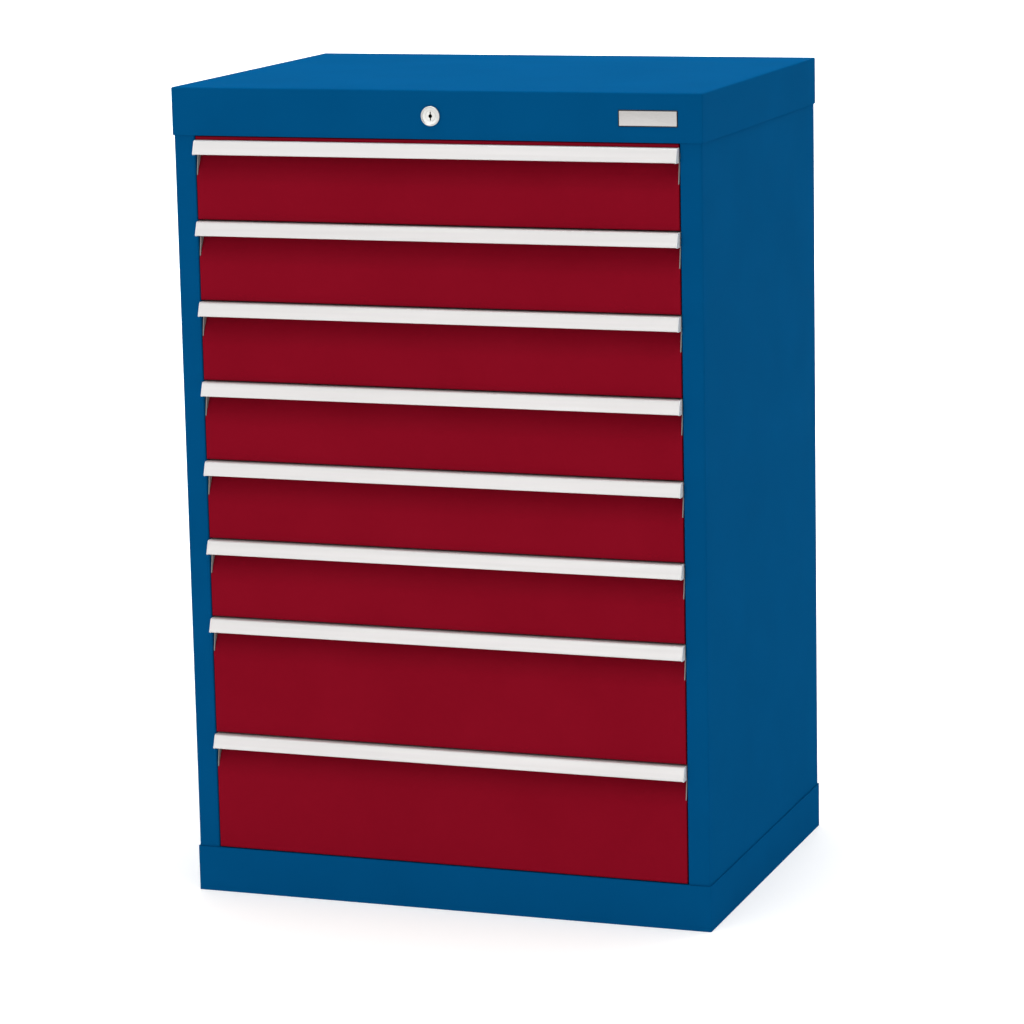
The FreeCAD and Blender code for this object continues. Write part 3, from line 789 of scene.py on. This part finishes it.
def plate_with_painted_shadow_edge(name):
    """Brushed silver with a dark painted shadow line round the edge."""
    finish, tree, shader, place = start_finish(name)
    grain = noise(tree, place, plate_grain_size, detail=2.0, stretch=plate_grain_stretch)
    silver = two_tones(tree, spread(tree, grain), *plate_silver)
    middle = (plate_low + plate_high) / 2
    half = (plate_high - plate_low) / 2
    split = node_in(tree, "ShaderNodeSeparateXYZ", Vector=place)
    gaps = []
    for axis, centre, reach in (("X", middle.x, half.x), ("Z", middle.z, half.z)):
        away = reckoned(tree, "ABSOLUTE", reckoned(tree, "SUBTRACT", split.outputs[axis], centre))
        gaps.append(reckoned(tree, "SUBTRACT", reach, away))
    # Painted shadow: dark within a band of the given width round the plate's edge.
    inside = reckoned(tree, "GREATER_THAN", reckoned(tree, "MINIMUM", *gaps), painted_shadow_width)
    colour = two_tones(tree, inside, edge_painted_shadow_colour, silver)
    surface = relief(tree, [(grain, plate_grain_depth)], plate_fold)
    tree.links.new(colour, shader.inputs["Base Color"])
    tree.links.new(spread(tree, grain, *plate_gloss), shader.inputs["Roughness"])
    tree.links.new(surface, shader.inputs["Normal"])
    shader.inputs["Metallic"].default_value = plate_metal
    return finish


def pressed_plate(finish):
    """The plate from its back over the rim, by (inset, depth behind the crest), to the field."""
    sections = [(0.0, plate_high.y)]
    sections += [(inset, plate_low.y + depth) for inset, depth in rim_profile]
    work = bmesh.new()
    rings = []
    for inset, y in sections:
        outline = soft_rectangle((plate_low.x + inset, plate_high.x - inset),
                                 (plate_low.z + inset, plate_high.z - inset),
                                 max(plate_radius - inset, plate_least_radius))
        rings.append(ring_of(work, outline, y))
    skin_over(work, rings)
    made("pressed_plate", work, finish, "cabinet", "plate_silver", "blank_plate")


pressed_plate(plate_with_painted_shadow_edge("silver_plate"))


# The drawer fronts
# Sheet steel folded round all four sides and drawn back into a finger scoop under the grip, powder
# coated in deep wine red like the housing's coat, a little glossier.
drawer_red = ((0.212, 0.0034, 0.0128), (0.226, 0.0039, 0.0142))
front_gloss = (0.34, 0.44)

dress([name for name in nodes if name.endswith("_front")],
      powder_coat("red_powder_coat", drawer_red, front_gloss))


# The drawer trays
# Sheet steel 1.2 mm thick with a hemmed rim, the slide runners welded on its sides, powder coated
# in light grey.
tray_grey = ((0.47, 0.48, 0.49), (0.52, 0.53, 0.54))
tray_gloss = (0.42, 0.52)
tray_fold = 0.0004

dress([name for name in nodes if name.endswith("_tray")],
      powder_coat("grey_powder_coat", tray_grey, tray_gloss, tray_fold))


# The grip rails
# Aluminium extrusions across the whole front, clear anodised. Fine drawing lines and faint bands
# run along the rail.
grip_tones = ((0.67, 0.655, 0.65), (0.71, 0.695, 0.69))
grip_gloss = (0.38, 0.52)
grip_metal = 0.35
grip_fold = 0.0004
grip_line_size = 0.0005
grip_line_stretch = (0.004, 1, 1)
grip_line_depth = 0.000008
grip_band_size = 0.006
grip_band_stretch = (0.02, 1, 1)


def anodised_aluminium(name):
    """Drawn metal under a clear oxide, which dulls it."""
    finish, tree, shader, place = start_finish(name)
    lines = noise(tree, place, grip_line_size, stretch=grip_line_stretch)
    bands = noise(tree, place, grip_band_size, detail=1.0, stretch=grip_band_stretch)
    colour = two_tones(tree, spread(tree, bands), *grip_tones)
    surface = relief(tree, [(lines, grip_line_depth)], grip_fold)
    tree.links.new(colour, shader.inputs["Base Color"])
    tree.links.new(spread(tree, lines, *grip_gloss), shader.inputs["Roughness"])
    tree.links.new(surface, shader.inputs["Normal"])
    shader.inputs["Metallic"].default_value = grip_metal
    return finish


dress([name for name in nodes if name.endswith("_grip")],
      anodised_aluminium("anodised_aluminium"))


# The end caps of the grips
# Moulded light grey plastic cheeks, a pair on each drawer. Each closes the end of the extrusion and
# reaches down in the scoop, where its edge runs out into the fold. Below the grip's lip the cheek
# is painted dark grey as painted shade under the lip.
# The dark tones are painted shade on the cheek under the grip's lip. The light tones are the cap's
# own light grey, set lighter than the grip as a painted highlight on its ends.
under_lip_painted_shade_tones = ((0.21, 0.205, 0.20), (0.25, 0.245, 0.24))
cap_gloss = (0.4, 0.55)
cap_colour_and_highlight_tones = ((0.74, 0.74, 0.74), (0.80, 0.80, 0.80))
cap_speckle_size = 0.0008
painted_shade_drop = 0.0013
cap_wall = 0.0012
cap_play = 0.0003
cap_chamfer = 0.0002
cap_chamfer_scale = 0.985
grip_reach = 0.012
grip_drop = 0.0165
nose_reach = 0.006
nose_bend = 0.0028
lip_width = 0.002
lip_drop = 0.0012
cheek_setback = 0.0045
cheek_drop = 0.0015
cheek_bend = 0.0008
cheek_tip = 0.0008
scoop_back = 0.015
scoop_height = 0.043
scoop_bend = 0.040
scoop_steps = 5


def cheek_outline(top, face, scoop):
    """The cheek seen from the side, as (y, z): round the grip's profile, then along the scoop."""
    lip = face - grip_reach
    outline = [(scoop - cap_play, top), (face - nose_reach, top, nose_bend),
               (lip, top - grip_drop), (lip + lip_width, top - grip_drop - lip_drop),
               (face + cheek_setback, top - grip_drop - cheek_drop, cheek_bend),
               (face + cheek_tip, top - scoop_height)]
    slant = math.atan2(scoop - face, scoop_height - scoop_back)
    rise = scoop_bend * math.tan(slant / 2)
    centre_z = top - scoop_height - rise
    for step in range(scoop_steps + 1):
        z = top - scoop_height + rise * math.cos(slant) * step / scoop_steps
        y = face + scoop_bend - math.sqrt(scoop_bend ** 2 - (z - centre_z) ** 2)
        outline.append((y - cap_play, z))
    outline.append((scoop - cap_play, top - scoop_back))
    return softened(outline)


def cap_plastic_with_painted_shade(name, edge_z):
    """Light grey plastic with a little painted highlight above an edge, and painted shade in dark
    grey below it.
    """
    finish = moulded_plastic(name, under_lip_painted_shade_tones, cap_gloss)
    tree = finish.node_tree
    base = tree.nodes["Principled BSDF"].inputs["Base Color"]
    shade_tone = base.links[0].from_socket
    place = tree.nodes["Texture Coordinate"].outputs["Object"]
    speckle = noise(tree, place, cap_speckle_size)
    upper_tone = two_tones(tree, spread(tree, speckle), *cap_colour_and_highlight_tones)
    height = node_in(tree, "ShaderNodeSeparateXYZ", Vector=place).outputs["Z"]
    # Painted shade below the edge; above it, the cap's light grey with a little painted highlight.
    above = reckoned(tree, "GREATER_THAN", height, edge_z)
    tree.links.new(two_tones(tree, above, shade_tone, upper_tone), base)
    return finish


def end_caps(drawer):
    """The pair of cheeks of a drawer, with a small chamfer round the outer side."""
    low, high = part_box(drawer + "_grip_caps")
    # Painted shade on the cheek from just below the grip's lip downwards.
    finish = cap_plastic_with_painted_shade(drawer + "_cap_plastic", high.z - grip_drop - painted_shade_drop)
    outline = cheek_outline(high.z, low.y + grip_reach, high.y + cap_play)
    middle = Vector((sum(y for y, z in outline), sum(z for y, z in outline))) / len(outline)
    sections = ((high.x - cap_wall, 1.0), (high.x - cap_chamfer, 1.0),
                (high.x, cap_chamfer_scale))
    work = bmesh.new()
    for side in (-1, 1):
        rings = []
        for x, scale in sections:
            rings.append([work.verts.new((side * x, middle.x + (y - middle.x) * scale,
                                          middle.y + (z - middle.y) * scale))
                          for y, z in outline])
        skin_over(work, rings)
    made(drawer + "_cheeks", work, finish, drawer, "cap_plastic", drawer + "_grip_caps")


for drawer in drawer_names:
    end_caps(drawer)
